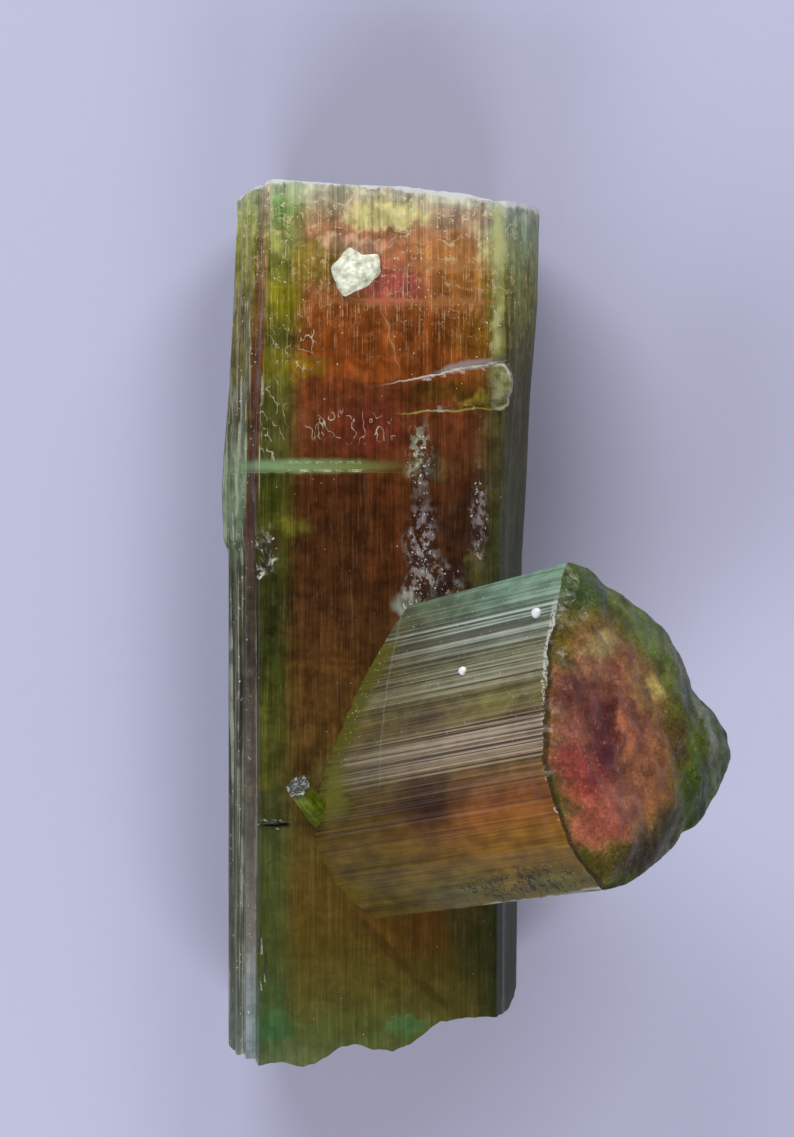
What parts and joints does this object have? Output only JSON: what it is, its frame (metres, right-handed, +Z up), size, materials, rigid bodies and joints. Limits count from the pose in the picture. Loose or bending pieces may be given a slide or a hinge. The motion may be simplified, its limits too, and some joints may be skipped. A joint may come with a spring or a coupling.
{
  "type": "watermelon tourmaline crystal",
  "caption": "Striated tourmaline prism lying on its back face, a smaller prism growing out of its side to a broken face with a green rim and a pink core.",
  "frame": {"origin": "middle of the flat back face that the large prism rests on", "axes": "+Y along the large prism towards its clean upper end, +Z up out of the resting face, +X towards the side that the small prism leans to"},
  "size_m": [0.0243, 0.0422, 0.0205],
  "materials": {
    "tourmaline": "glassy, striated",
    "albite": "rough, matt"
  },
  "bodies": {
    "root": {"tourmaline": "tourmaline", "albite_crumb": "albite"}
  },
  "joints": []
}
